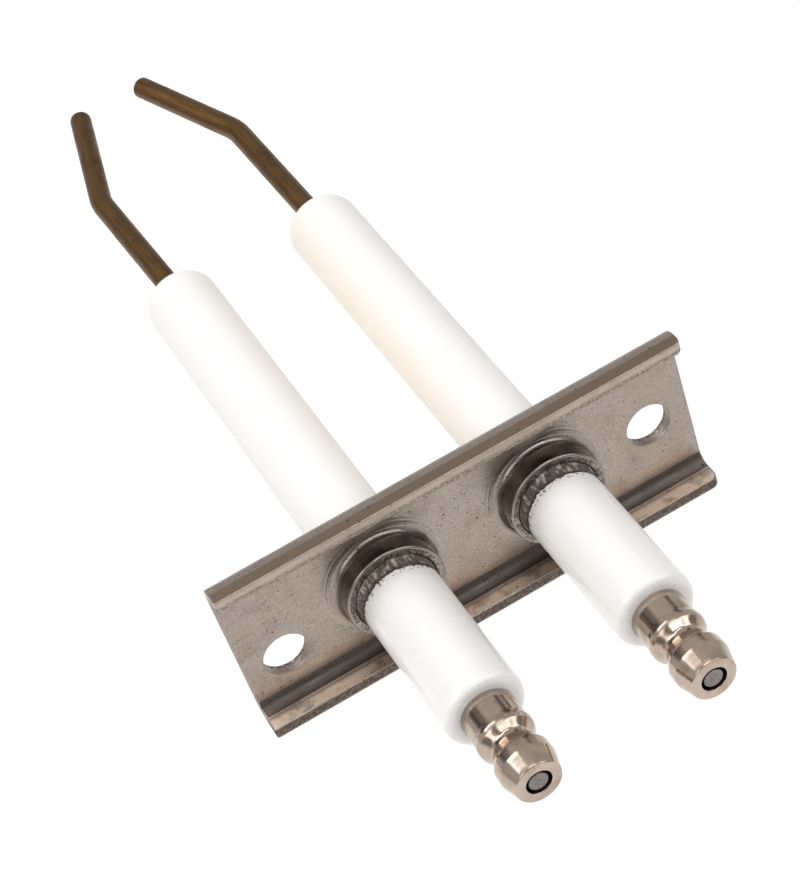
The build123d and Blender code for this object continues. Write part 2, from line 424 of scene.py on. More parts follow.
def makeCeramic(side):
    look = ceramicLook
    stain = look["stain"][side]
    material, tree, shader = newMaterial("alumina" + side.capitalize())
    place = ownPlace(tree)
    centred = stretched(tree, place, (1, 1, 1), (-axisX[side] * mm, 0, 0))
    parts = addNode(tree, "ShaderNodeSeparateXYZ", {"Vector": centred})
    cloud = noise(tree, stretched(tree, place, look["cloudScale"]), 1.0, 4)
    flank = remap(tree, times(tree, parts.outputs["X"], stain["side"]), 0.0012, 0.0048)
    ahead = remap(tree, parts.outputs["Y"], 0.0, 0.012)
    tint = times(tree, times(tree, flank, ahead), stain["amount"])
    tint = times(tree, tint, remap(tree, cloud, 0.3, 0.7, 0.4, 1.0))
    colour = blendColour(tree, tint, look["white"], look["cream"])
    fine = noise(tree, place, look["fineScale"], 3)
    colour = blendColour(tree, remap(tree, fine, 0.55, 0.85, 0, 0.12), colour, look["grey"])
    # grime caught along the mould line
    around = ownSkin(tree)
    turn = addNode(tree, "ShaderNodeSeparateXYZ", {"Vector": around}).outputs["X"]
    lineTurn = mouldLineAngle[side] / 360
    aside = maths(tree, "ABSOLUTE", maths(tree, "SUBTRACT", turn, lineTurn))
    line = times(tree, remap(tree, aside, 0.002, 0.009, 0.5, 0), remap(tree, cloud, 0.35, 0.6))
    colour = blendColour(tree, line, colour, look["cream"])
    # a few dark specks fired into the surface
    specks = rareSpots(tree, place, look["speckScale"], "Green", 0.93, 0.03, 0.07)
    colour = blendColour(tree, times(tree, specks, 0.6), colour, look["speck"])
    # flakes of the dark packing stuck to the glaze next to the ring
    beside = maths(tree, "ABSOLUTE", maths(tree, "SUBTRACT", parts.outputs["Y"], look["flakePlace"]))
    flake = remap(tree, noise(tree, place, look["flakeScale"], 2), 0.55, 0.6)
    flakes = times(tree, remap(tree, beside, 0.0001, 0.0006, 1, 0), flake)
    colour = blendColour(tree, flakes, colour, look["speck"])
    rough = remap(tree, parts.outputs["Y"], -0.004, 0.002, look["roughRear"], look["roughFront"])
    rough = maths(tree, "ADD", rough, remap(tree, cloud, 0.3, 0.7, -0.04, 0.06))
    paint(tree, shader, colour, rough, 0.0)
    shader.inputs["IOR"].default_value = 1.6
    shader.inputs["Subsurface Weight"].default_value = 0.12
    shader.inputs["Subsurface Radius"].default_value = (0.0012, 0.0011, 0.0010)
    shader.inputs["Subsurface Scale"].default_value = 1.0
    height = maths(tree, "ADD", fine, times(tree, cloud, 3.0))
    bump(tree, shader, height, look["bumpDepth"], 0.35)
    return material


# rod: brown oxide over drawn wire, bare metal on the cut tail
oxideLook = dict(
    brown=(0.105, 0.052, 0.016),
    tan=(0.170, 0.092, 0.034),
    soot=(0.024, 0.014, 0.007),
    bare=(0.28, 0.255, 0.235),
    bareDark=(0.15, 0.13, 0.12),
    shade=(0.010, 0.009, 0.008),
    lineScale=(46, 0.16, 1),
    cloudScale=260,
    grainScale=4200,
    fleckScale=6500,
    bumpDepth=0.00003,
)


def makeOxide():
    look = oxideLook
    material, tree, shader = newMaterial("oxidisedWire")
    place = ownPlace(tree)
    skin = ownSkin(tree)
    lines = noise(tree, stretched(tree, skin, look["lineScale"]), 1.0, 5, 0.6)
    cloud = noise(tree, place, look["cloudScale"], 4)
    grain = noise(tree, place, look["grainScale"], 3)
    colour = blendColour(tree, remap(tree, lines, 0.42, 0.68), look["brown"], look["tan"])
    colour = blendColour(tree, remap(tree, cloud, 0.5, 0.75, 0, 0.6), colour, look["soot"])
    colour = blendColour(tree, remap(tree, grain, 0.55, 0.8, 0, 0.5), colour, look["soot"])
    along = addNode(tree, "ShaderNodeSeparateXYZ", {"Vector": place}).outputs["Y"]
    tail = remap(tree, along, -0.018, -0.022)
    fleck = noise(tree, place, look["fleckScale"], 3, 0.6)
    cut = blendColour(tree, remap(tree, fleck, 0.42, 0.62), look["bare"], look["bareDark"])
    # the tail's side, down inside the terminal, is painted near black as shade; only its cut end is bare
    # metal
    cutEnd = painted(tree, "cutEnd")
    cut = blendColour(tree, cutEnd, look["shade"], cut)
    colour = blendColour(tree, tail, colour, cut)
    paint(tree, shader, colour, remap(tree, cloud, 0.3, 0.7, 0.36, 0.5), 0.85)
    height = maths(tree, "ADD", lines, times(tree, grain, 0.5))
    bump(tree, shader, height, look["bumpDepth"], 0.6)
    return material


# terminal: bright nickel over turned brass, with turning marks and a few dull spots
nickelLook = dict(
    bright=(0.50, 0.41, 0.34),
    dull=(0.36, 0.29, 0.235),
    spot=(0.16, 0.13, 0.11),
    shade=(0.012, 0.010, 0.009),
    turningScale=(3, 24, 1),
    cloudScale=520,
    grainScale=3800,
    bumpDepth=0.000006,
)


def makeNickel():
    look = nickelLook
    material, tree, shader = newMaterial("brightNickel")
    place = ownPlace(tree)
    skin = ownSkin(tree)
    turning = noise(tree, stretched(tree, skin, look["turningScale"]), 1.0, 4, 0.6)
    cloud = noise(tree, place, look["cloudScale"], 4)
    grain = noise(tree, place, look["grainScale"], 3)
    colour = blendColour(tree, remap(tree, cloud, 0.4, 0.7), look["bright"], look["dull"])
    spots = times(tree, remap(tree, grain, 0.66, 0.74), remap(tree, cloud, 0.5, 0.6))
    colour = blendColour(tree, spots, colour, look["spot"])
    # the inside of the eye is painted near black as shade
    inEye = painted(tree, "inEye")
    colour = blendColour(tree, inEye, colour, look["shade"])
    rough = remap(tree, cloud, 0.3, 0.7, 0.10, 0.20)
    rough = maths(tree, "ADD", rough, times(tree, inEye, 0.5))
    paint(tree, shader, colour, rough, 1.0)
    height = maths(tree, "ADD", turning, times(tree, grain, 0.25))
    bump(tree, shader, height, look["bumpDepth"], 0.5)
    return material


# mineral packing and cement: crumbly, light grains in a dark or a pale ground. grainFrom
# is the noise above which grains show; fibre below 1 draws them out along the electrode.
mineralLook = dict(
    packing=dict(
        name="mineralPacking",
        ground=(0.115, 0.09, 0.072),
        grain=(0.46, 0.42, 0.37),
        shadow=(0.022, 0.017, 0.013),
        grainFrom=0.5,
        fibre=0.35,
    ),
    cement=dict(
        name="firedCement",
        ground=(0.62, 0.58, 0.53),
        grain=(0.72, 0.69, 0.65),
        shadow=(0.36, 0.32, 0.28),
        grainFrom=0.45,
        fibre=1.0,
    ),
    coarseScale=1500,
    fineScale=3600,
    bumpDepth=0.00012,
)


def makeMineral(kind):
    look = mineralLook
    own = look[kind]
    material, tree, shader = newMaterial(own["name"])
    place = ownPlace(tree)
    drawnOut = stretched(tree, place, (1.0, own["fibre"], 1.0))
    coarse = noise(tree, drawnOut, look["coarseScale"], 4, 0.65)
    fine = noise(tree, drawnOut, look["fineScale"], 4, 0.7)
    grains = remap(tree, coarse, own["grainFrom"], own["grainFrom"] + 0.12)
    colour = blendColour(tree, grains, own["ground"], own["grain"])
    colour = blendColour(tree, remap(tree, fine, 0.5, 0.66, 0, 0.9), colour, own["shadow"])
    # patches of painted shadow for chips along the lip's end
    chipped = painted(tree, "chipped")
    chipShadow = times(tree, chipped, remap(tree, coarse, 0.38, 0.50))
    colour = blendColour(tree, chipShadow, colour, own["shadow"])
    paint(tree, shader, colour, remap(tree, fine, 0.3, 0.7, 0.7, 0.95), 0.0)
    height = maths(tree, "ADD", coarse, times(tree, fine, 0.6))
    bump(tree, shader, height, look["bumpDepth"], 0.8)
    return material


materials = {
    "steel": makeSteel(),
    "alumina": {side: makeCeramic(side) for side in sides},
    "oxide": makeOxide(),
    "nickel": makeNickel(),
    "packing": makeMineral("packing"),
    "cement": makeMineral("cement"),
}
print("stage: materials made")


def finishPiece(piece, material, node):
    piece.data.materials.append(material)
    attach(piece, "root")
    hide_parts(node)


# bracket: one pressed sheet. Places on it are given in the unrolled sheet: x along the
# bracket, s across it, and depth from the seating face (0) to the rear face (-sheet).
bracketShape = dict(
    sheet=1.5,
    outerBend=3.0,
    upperFlat=1.5,
    leftCorner=0.3,
    rightCorner=1.0,
    softEdge=0.14,
    holeRadius=2.75,
    holeX=24.0,
    leftHoleDrop=3.2,
    rightHoleDrop=0.0,
    holeEntry=0.16,
    holeExit=0.06,
    collarWall=0.95,
    collarRim=4.7,
    rootRadius=0.9,
    mouthRadius=1.0,
    rimRolled=0.28,
    rimZone=0.3,
    cellSplit=18.0,
    rippleHeight=0.022,
    ripplePitch=0.52,
    rippleFade=0.75,
    sideSamples=36,
    rearRows=30,
    frontRows=7,
    burnishedUpper=0.54,
    burnishedLower=0.12,
    burnishedEnds=0.42,
)
sheet = bracketShape["sheet"]
outerBend = bracketShape["outerBend"]
softEdge = bracketShape["softEdge"]
webLow = bracketLow[2] + outerBend
webHigh = bracketHigh[2] - outerBend
endX = bracketHigh[0] - softEdge  # the rounded edge begins here
bendRun = (outerBend - sheet / 2) * math.pi / 2  # along the middle of the sheet
lowerFlat = -bracketLow[1] - outerBend  # the lower flange is the deeper one
collarOuter = collarInner + bracketShape["collarWall"]
rootOuter = collarOuter + bracketShape["rootRadius"]
skinScale = 0.1  # skin map units for each millimetre of sheet


def sheetPoint(x, s, depth):
    # flat web: y = depth, z = s. Past the web's edge the sheet turns a quarter circle of
    # outer radius outerBend about the bend's centre, then runs straight backwards.
    over = np.maximum(s - webHigh, 0)
    under = np.maximum(webLow - s, 0)
    beyond = over + under
    way = np.where(over > 0, 1.0, -1.0)
    turn = np.clip(beyond / bendRun, 0, 1) * math.pi / 2
    flat = np.maximum(beyond - bendRun, 0)
    y = -outerBend + (outerBend + depth) * np.cos(turn) - flat
    z = np.clip(s, webLow, webHigh) + way * (outerBend + depth) * np.sin(turn)
    return np.stack(np.broadcast_arrays(x, y, z), axis=-1)


def rearRelief(x, s):
    # draw rings round both collars: a sine of the way past the collar's root, which rises
    # at once, fades as an exponential and dies out at the web's long edges
    total = np.zeros(np.broadcast(x, s).shape)
    inside = np.clip(np.minimum(s - webLow, webHigh - s) / 0.6, 0, 1)
    for side in sides:
        past = np.hypot(x - axisX[side], s) - rootOuter
        fade = np.exp(-np.maximum(past, 0) / bracketShape["rippleFade"])
        rise = np.clip(past / 0.25, 0, 1)
        ring = np.sin(past / bracketShape["ripplePitch"] * 2 * math.pi)
        total = total + ring * fade * rise * bracketShape["rippleHeight"]
    return total * inside


def webCell(xLow, xHigh, centreX, centreS, rows):
    # one rectangle of the web. Straight lines run from its round feature to its border:
    # distance from the centre = radius + spread * (border distance - radius). Each row is
    # (radius, spread, depth, sheared, drawn, cut).
    samples = bracketShape["sideSamples"]
    share = np.linspace(0, 1, samples, endpoint=False)
    borderX = np.concatenate([
        xLow + (xHigh - xLow) * share, np.full(samples, xHigh),
        xHigh - (xHigh - xLow) * share, np.full(samples, xLow), [xLow],
    ])
    borderS = np.concatenate([
        np.full(samples, webLow), webLow + (webHigh - webLow) * share,
        np.full(samples, webHigh), webHigh - (webHigh - webLow) * share, [webLow],
    ])
    reach = np.hypot(borderX - centreX, borderS - centreS)
    alongX = (borderX - centreX) / reach
    alongS = (borderS - centreS) / reach
    radius, spread, depth, sheared, drawn, cut = [np.array(r)[:, None] for r in zip(*rows)]
    distance = radius + spread * (reach - radius)
    x = centreX + alongX * distance
    s = centreS + alongS * distance
    onRear = (depth <= -sheet + 1e-9) & (spread > 0)
    lifted = depth + np.where(onRear, rearRelief(x, s), 0)
    marks = {"sheared": sheared, "drawn": drawn, "cut": cut}
    return sheetPoint(x, s, lifted), x * skinScale, s * skinScale, marks


def flatRows(radius, depth, outwards):
    # the rear face needs close rows for its draw rings, closest at the round feature; the
    # plain front face needs few
    if outwards:
        shares = np.linspace(0, 1, bracketShape["frontRows"])
    else:
        shares = np.linspace(1, 0, bracketShape["rearRows"]) ** 1.6
    return [(radius, share, depth, 0.0, 0.0, 0.0) for share in shares]


def ringRows(corners, sheared=0.0, drawn=0.0, cut=0.0, step=0.12):
    # rows of a round feature from an outline with corners (radius, depth, rounding)
    outline = roundCorners(corners, step, arcStep=0.06)
    return [(r, 0.0, d, sheared, drawn, cut) for r, d in outline]


def collarRows():
    # rear face, root, drawn wall, rolled rim, cut end, bore, rounded mouth, front face
    shape = bracketShape
    rim = -shape["collarRim"]
    zone = shape["rimZone"]
    wallStart = -sheet - shape["rootRadius"] - 0.04
    mouth = shape["mouthRadius"]
    rows = flatRows(rootOuter, -sheet, False)
    # drawn marks the drawn surfaces: painted shade in their colour, real burnish in their roughness
    rows += ringRows(
        [(rootOuter, -sheet, 0), (collarOuter, -sheet, shape["rootRadius"]), (collarOuter, wallStart, 0)],
        drawn=0.35,
    )
    rows += ringRows([(collarOuter, wallStart, 0), (collarOuter, rim + zone, 0)], drawn=1.0)
    rows += ringRows(
        [
            (collarOuter, rim + zone, 0), (collarOuter, rim, shape["rimRolled"]),
            (collarOuter - zone, rim, 0),
        ],
        drawn=0.4,
    )
    rows += ringRows(
        [(collarOuter - zone, rim, 0), (collarInner, rim, 0.07), (collarInner, rim + zone, 0)],
        sheared=0.85, cut=1.0,
    )
    rows += ringRows(
        [(collarInner, rim + zone, 0), (collarInner, 0, mouth), (collarInner + mouth, 0, 0)],
        drawn=1.0, step=0.4,
    )
    rows += flatRows(collarInner + mouth, 0.0, True)
    return rows


def holeRows():
    # rear face, rolled-in entry, burnished land, torn exit, front face
    radius = bracketShape["holeRadius"]
    entry = radius + bracketShape["holeEntry"]
    leave = radius + bracketShape["holeExit"]
    landEnd = -sheet + 0.2
    tearStart = -0.5
    rows = flatRows(entry, -sheet, False)
    rows += ringRows(
        [(entry, -sheet, 0), (radius, -sheet, 0.15), (radius, landEnd, 0)], sheared=0.1, cut=0.4
    )
    rows += ringRows([(radius, landEnd, 0), (radius, tearStart, 0)], sheared=0.4, cut=0.6)
    rows += ringRows([(radius, tearStart, 0), (radius, 0, 0.05), (leave, 0, 0)], sheared=0.85, cut=1.0)
    rows += flatRows(leave, 0.0, True)
    return rows


def flangeRows(flatDepth):
    # rows go from the web through the bend to the free edge. The last ones shorten along a
    # quarter circle, which rounds the free corners: for each end of the bracket, how much
    # of its length a row keeps, and the outward normal's share along x.
    edge = bendRun + flatDepth - softEdge
    corners = (bracketShape["leftCorner"] - softEdge, bracketShape["rightCorner"] - softEdge)
    arc = np.sin(np.linspace(0, math.pi / 2, 9))
    rounded = np.concatenate([edge - corner + corner * arc for corner in corners])
    flatPart = np.linspace(bendRun, edge - max(corners), 5)[1:]
    beyond = np.unique(np.concatenate([np.linspace(0, bendRun, 22), flatPart, rounded]).round(5))
    ends = []
    for corner in corners:
        # sine = way past the corner's start / radius, and the row loses radius * (1 - cosine)
        sine = np.clip((beyond - edge + corner) / corner, 0, 1)
        cosine = np.sqrt(1 - sine ** 2)
        ends.append(((endX - corner * (1 - cosine)) / endX, cosine))
    return beyond, ends


def makeFlange(way, start, flatDepth):
    # the flange's outer and inner face, and its outline (x, s, left and right normal)
    split = bracketShape["cellSplit"]
    steps = np.linspace(0, 1, bracketShape["sideSamples"] + 1)
    columnX = np.concatenate([
        -endX + (endX - split) * steps[:-1], -split + split * steps[:-1],
        split * steps[:-1], split + (endX - split) * steps,
    ])
    beyond, ends = flangeRows(flatDepth)
    (leftShrink, leftNormal), (rightShrink, rightNormal) = ends
    s = (start + way * beyond)[:, None]
    shrink = np.where(columnX[None, :] < 0, leftShrink[:, None], rightShrink[:, None])
    x = columnX[None, :] * shrink
    # the outside of the upper flange's flat stretch is made a darker brown, the inside of
    # both bends is painted dark as shade, and the inside of the lower flange is painted bright
    # towards its edge as a reflection, with a painted highlight line at the end of the bend
    pastBend = np.clip((beyond - bendRun + 0.12) / 0.1, 0, 1)[:, None]
    nearEdge = np.clip((beyond - bendRun - 0.35) / 0.3, 0, 1)[:, None]
    creased = np.clip(beyond / 0.3, 0, 1) * np.clip((bendRun - beyond) / 0.12, 0, 1)
    bendEndHighlight = np.exp(-((beyond - bendRun - 0.05) / 0.11) ** 2)[:, None]
    skin = pastBend if way > 0 else pastBend * 0.0
    tarnish = nearEdge * 0.0 if way > 0 else np.maximum(nearEdge, bendEndHighlight)
    inside = {"tarnish": tarnish, "creased": creased[:, None]}
    u = x * skinScale
    v = s * skinScale
    faces = [
        (sheetPoint(x, s, 0.0), u, v, {"millSkin": skin}),
        (sheetPoint(x, s, -sheet), u, v - sheet, inside),
    ]
    return faces, (x, s, leftNormal, rightNormal)


def edgePatch(upper, lower):
    # rounded sheared edge all round: the outline moved outwards by a quarter circle, straight
    # across the thickness, and back by another quarter circle
    upperX, upperS, upperLeft, upperRight = upper
    lowerX, lowerS, lowerLeft, lowerRight = lower
    samples = bracketShape["sideSamples"]
    webShare = webLow + (webHigh - webLow) * np.linspace(0, 1, samples + 1)[1:-1]
    plain = np.ones(samples - 1)
    rightX = np.concatenate([lowerX[::-1, -1], plain * endX, upperX[:, -1]])
    leftX = np.concatenate([lowerX[::-1, 0], plain * -endX, upperX[:, 0]])[::-1]
    sideS = np.concatenate([lowerS[::-1, 0], webShare, upperS[:, 0]])
    rightNormal = np.concatenate([lowerRight[::-1], plain, upperRight])
    leftNormal = -np.concatenate([lowerLeft[::-1], plain, upperLeft])[::-1]
    topX = upperX[-1, ::-1][1:-1]
    topS = np.full(len(topX), upperS[-1, 0])
    bottomX = lowerX[-1, :][1:-1]
    bottomS = np.full(len(bottomX), lowerS[-1, 0])
    level = np.zeros(len(topX))
    loopX = np.concatenate([rightX, topX, leftX, bottomX, rightX[:1]])
    loopS = np.concatenate([sideS, topS, sideS[::-1], bottomS, sideS[:1]])
    loopNormalX = np.concatenate([rightNormal, level, leftNormal, level, rightNormal[:1]])
    loopNormalS = np.sqrt(np.maximum(1 - loopNormalX ** 2, 0)) * np.sign(loopS)
    section = roundCorners(
        [(0, 0, 0), (softEdge, 0, softEdge), (softEdge, -sheet, softEdge), (0, -sheet, 0)],
        step=0.16, arcStep=0.04,
    )
    outwards = section[:, 0][:, None]
    depth = section[:, 1][:, None]
    x = loopX + loopNormalX * outwards
    s = loopS + loopNormalS * outwards
    # the cut is burnished from the outer face inwards, then torn. The lower flange and the
    # bracket's ends tore sooner than the upper flange.
    onUpper = s > webHigh
    across = -depth / sheet
    lowerOrEnds = np.where(s < webLow, bracketShape["burnishedLower"], bracketShape["burnishedEnds"])
    burnished = np.where(onUpper, bracketShape["burnishedUpper"], lowerOrEnds)
    torn = np.clip((across - burnished) / 0.08, 0, 1) * np.clip((0.96 - across) / 0.06, 0, 1)
    torn = torn * np.where(onUpper, 0.6, 1.0)
    cut = np.clip((across - 0.05) / 0.05, 0, 1) * np.clip((0.97 - across) / 0.05, 0, 1)
    cut = cut * (s > webLow)
    grid = sheetPoint(x, s, depth)
    return grid, x * skinScale, s * skinScale + depth, {"sheared": torn, "cut": cut}


def makeBracket():
    shape = bracketShape
    split = shape["cellSplit"]
    hole = holeRows()
    collar = collarRows()
    patches = [
        webCell(-endX, -split, -shape["holeX"], -shape["leftHoleDrop"], hole),
        webCell(-split, 0, axisX["left"], 0, collar),
        webCell(0, split, axisX["right"], 0, collar),
        webCell(split, endX, shape["holeX"], -shape["rightHoleDrop"], hole),
    ]
    upperFaces, upperOutline = makeFlange(1.0, webHigh, shape["upperFlat"])
    lowerFaces, lowerOutline = makeFlange(-1.0, webLow, lowerFlat)
    patches += upperFaces + lowerFaces
    patches.append(edgePatch(upperOutline, lowerOutline))
    piece = gridMesh("pressedBracket", patches, sharpAngle=50)
    finishPiece(piece, materials["steel"], "bracket")


makeBracket()
print("stage: bracket made")


# insulators: turned tube with rounded ends, a front pocket and a rear counterbore
insulatorShape = dict(
    boreRadius=1.65,
    stemDepth=5.98,
    frontPocketDepth=5.0,
    frontRounding=2.0,
    rearRounding=1.0,
    innerSoft=0.15,
    outOfRound=0.012,
    outOfRoundWaves=6,
    mouldLineHeight=0.03,
    mouldLineWidth=0.03,
    turns=192,
)


def makeInsulator(side, seed):
    shape = insulatorShape
    soft = shape["innerSoft"]
    bore = shape["boreRadius"]
    stemFloor = insulatorRear + shape["stemDepth"]
    pocketFloor = insulatorFront - shape["frontPocketDepth"]
    # each corner is (radius, y, rounding)
    corners = [
        (bore, stemFloor, 0),
        (stemBoreRadius, stemFloor, 0),
        (stemBoreRadius, insulatorRear, soft),
        (insulatorRadius, insulatorRear, shape["rearRounding"]),
        (insulatorRadius, insulatorFront, shape["frontRounding"]),
        (frontPocketRadius, insulatorFront, soft),
        (frontPocketRadius, pocketFloor, 0),
        (bore, pocketFloor, 0),
    ]
    profile = roundCorners(corners, step=1.2, arcStep=0.1, closed=True)
    grid, around, along = lathe(profile, axisX[side], shape["turns"])
    # pressed and fired tubes are never quite round: the outside gives by a few microns
    angle = around * 2 * math.pi
    outside = np.clip((profile[:, 0] - stemBoreRadius) / 1.5, 0, 1)[:, None]
    sway = roughness(angle, along * 0.02, seed, waves=shape["outOfRoundWaves"], low=2, high=6)
    give = -np.abs(sway) * shape["outOfRound"]
    # a faint raised line left by the mould: height falls off as a bell curve of the angle
    away = (angle - math.radians(mouldLineAngle[side])) / shape["mouldLineWidth"]
    give = (give + np.exp(-away ** 2) * shape["mouldLineHeight"]) * outside
    grid[..., 0] += np.cos(angle) * give
    grid[..., 2] += np.sin(angle) * give
    piece = gridMesh("insulatorTube" + side.capitalize(), [(grid, around, along, {})])
    finishPiece(piece, materials["alumina"][side], "insulator_" + side)


# rods: a round bar carried along a path of straight runs and arcs in the plane z = 0. The
# places bend and tip are measured across from the electrode's own axis.
rodShape = dict(
    tailRadius=1.15,
    tailEnd=-37.35,
    tailRound=0.12,
    shoulder=-20.22,
    shoulderRound=0.2,
    leanRadius=20.0,
    bendRadius=10.0,
    lean=63.0,
    left=dict(bend=(-0.8, 87.0), tip=(4.0, 108.0), tipRound=0.85),
    right=dict(bend=(-0.35, 87.3), tip=(-6.95, 107.9), tipRound=0.32),
    turns=64,
)


def makeRod(side):
    shape = rodShape
    own = shape[side]
    corners = [
        (0, shape["tailEnd"], 0), (0, shape["lean"], shape["leanRadius"]),
        (*own["bend"], shape["bendRadius"]), (*own["tip"], 0),
    ]
    path = roundCorners(corners, step=0.8, arcStep=0.15)
    run = arcLength(path)
    total = run[-1]
    shoulder = shape["shoulder"] - shape["tailEnd"]
    tail = shape["tailRadius"]
    # corners of (distance along the path, radius, rounding), on the axis at both ends
    corners = [
        (0, 0, 0), (0, tail, shape["tailRound"]), (shoulder, tail, 0),
        (shoulder, rodRadius, shape["shoulderRound"]), (total, rodRadius, own["tipRound"]), (total, 0, 0),
    ]
    profile = roundCorners(corners, step=0.8, arcStep=0.08)
    at = profile[:, 0]
    heading = np.gradient(path, run, axis=0)
    heading /= np.linalg.norm(heading, axis=1)[:, None]
    centreX = np.interp(at, run, path[:, 0]) + axisX[side]
    centreY = np.interp(at, run, path[:, 1])
    headX = np.interp(at, run, heading[:, 0])
    headY = np.interp(at, run, heading[:, 1])
    # point = centre + radius * (cos a * sideways + sin a * up)
    turns = shape["turns"]
    angle = np.linspace(0, 2 * math.pi, turns + 1)
    angle[-1] = 0
    radius = profile[:, 1][:, None]
    grid = np.empty((len(at), turns + 1, 3))
    grid[..., 0] = centreX[:, None] + radius * np.cos(angle) * headY[:, None]
    grid[..., 1] = centreY[:, None] - radius * np.cos(angle) * headX[:, None]
    grid[..., 2] = radius * np.sin(angle)
    around = np.broadcast_to(np.linspace(0, 1, turns + 1), grid.shape[:2])
    along = np.broadcast_to(arcLength(profile)[:, None], grid.shape[:2])
    cutEnd = np.clip((0.1 - at) / 0.1, 0, 1)[:, None]
    piece = gridMesh("sparkRod" + side.capitalize(), [(grid, around, along, {"cutEnd": cutEnd})])
    finishPiece(piece, materials["oxide"], "rod_" + side)


# terminals: turned from bar, every edge slightly broken
terminalShape = dict(
    baseRadius=3.2,
    neckRadius=2.5,
    headRadius=3.25,
    faceRadius=2.65,
    eyeRadius=1.5,
    eyeDepth=1.2,
    boreRadius=1.17,
    stemRadius=2.4,
    stemLength=6.0,
    seatGap=0.02,
    grooveDepth=0.3,
    grooveWidth=0.8,
    beadStart=3.3,
    beadEnd=4.6,
    neckStart=5.4,
    neckEnd=6.0,
    headStart=7.7,
    taperStart=9.0,
    turns=160,
)


def makeTerminal(side):
    shape = terminalShape
    foot = insulatorRear
    seat = foot - shape["seatGap"]
    end = terminalLow[1]
    bore = shape["boreRadius"]
    stem = shape["stemRadius"]
    base = shape["baseRadius"]
    head = shape["headRadius"]
    eye = shape["eyeRadius"]
    stemEnd = foot + shape["stemLength"]
    eyeFloor = end + shape["eyeDepth"]
    grooveFloor = stem - shape["grooveDepth"]
    halfGroove = shape["grooveWidth"] / 2
    beadMiddle = foot - (shape["beadStart"] + shape["beadEnd"]) / 2
    # each corner is (radius, y, rounding), from the bore out over the stem and down to the eye
    corners = [(bore, eyeFloor, 0), (bore, stemEnd, 0), (stem, stemEnd, 0.1)]
    for share in (2 / 3, 1 / 3):
        grooveY = foot + shape["stemLength"] * share
        corners += [
            (stem, grooveY + halfGroove, 0.05), (grooveFloor, grooveY + halfGroove, 0),
            (grooveFloor, grooveY - halfGroove, 0), (stem, grooveY - halfGroove, 0.05),
        ]
    corners += [
        (stem, seat, 0),
        (base, seat, 0.1),
        (base, foot - shape["beadStart"], 0.2),
        (beadRadius, beadMiddle + 0.15, 0.12),
        (beadRadius, beadMiddle - 0.2, 0.12),
        (base, foot - shape["beadEnd"], 0.2),
        (shape["neckRadius"], foot - shape["neckStart"], 0.5),
        (shape["neckRadius"], foot - shape["neckEnd"], 0.3),
        (head, foot - shape["headStart"], 0.2),
        (head, foot - shape["taperStart"], 0.25),
        (shape["faceRadius"], end, 0.16),
        (eye, end, 0.06),
        (eye, eyeFloor, 0),
    ]
    profile = roundCorners(corners, step=0.5, arcStep=0.05, closed=True)
    grid, around, along = lathe(profile, axisX[side], shape["turns"])
    # everything inside the eye is painted near black as shade and made rougher
    inEye = (profile[:, 0] < eye + 0.02) & (profile[:, 1] > end + 0.1)
    extra = {"inEye": inEye.astype(float)[:, None]}
    piece = gridMesh("snapTerminal" + side.capitalize(), [(grid, around, along, extra)], sharpAngle=30)
    finishPiece(piece, materials["nickel"], "terminal_" + side)


# packing rings: crumbly band between collar and insulator, with a ragged lip
packingShape = dict(gapWidth=0.13, gapDepth=0.5, ragged=0.15, lumpHeight=0.05, chipShadowDepth=0.55, turns=288)


def makePacking(side, seed):
    shape = packingShape
    inner = insulatorRadius
    lipEnd = packingLow[1]
    rim = -bracketShape["collarRim"]
    gapFloor = rim + shape["gapDepth"]
    lipOuter = collarInner - shape["gapWidth"]
    corners = [
        (inner, packingHigh[1], 0), (collarInner, packingHigh[1], 0), (collarInner, gapFloor, 0),
        (lipOuter, gapFloor - 0.1, 0), (lipOuter, rim, 0),
        (inner + 0.1, lipEnd + 0.1, 0.06), (inner, lipEnd, 0),
    ]
    profile = roundCorners(corners, step=0.09, arcStep=0.05, closed=True)
    grid, around, along = lathe(profile, axisX[side], shape["turns"])
    angle = around * 2 * math.pi
    # the free lip wanders along the axis and its outside is lumpy
    free = np.clip((rim + 0.3 - grid[..., 1]) / 0.6, 0, 1)
    wander = np.abs(roughness(angle, 0.0, seed))
    lumps = roughness(angle, along * 0.3, seed + 1, waves=40, low=12, high=70)
    grid[..., 1] += free * wander * shape["ragged"]
    off = profile[:, 0][:, None] > inner + 0.03
    swell = -np.abs(lumps) * shape["lumpHeight"] * off * free
    grid[..., 0] += np.cos(angle) * swell
    grid[..., 2] += np.sin(angle) * swell
    # the lip's last half millimetre gets patches of painted shadow standing for chips
    chipped = np.clip((lipEnd + shape["chipShadowDepth"] - profile[:, 1]) / 0.45, 0, 1)[:, None]
    piece = gridMesh("packingRing" + side.capitalize(), [(grid, around, along, {"chipped": chipped})])
    finishPiece(piece, materials["packing"], "packing_" + side)


# cement rings: filled by hand, so the open end is uneven and sinks between its two walls
cementShape = dict(rim=0.04, sink=0.15, rough=0.05, turns=128)


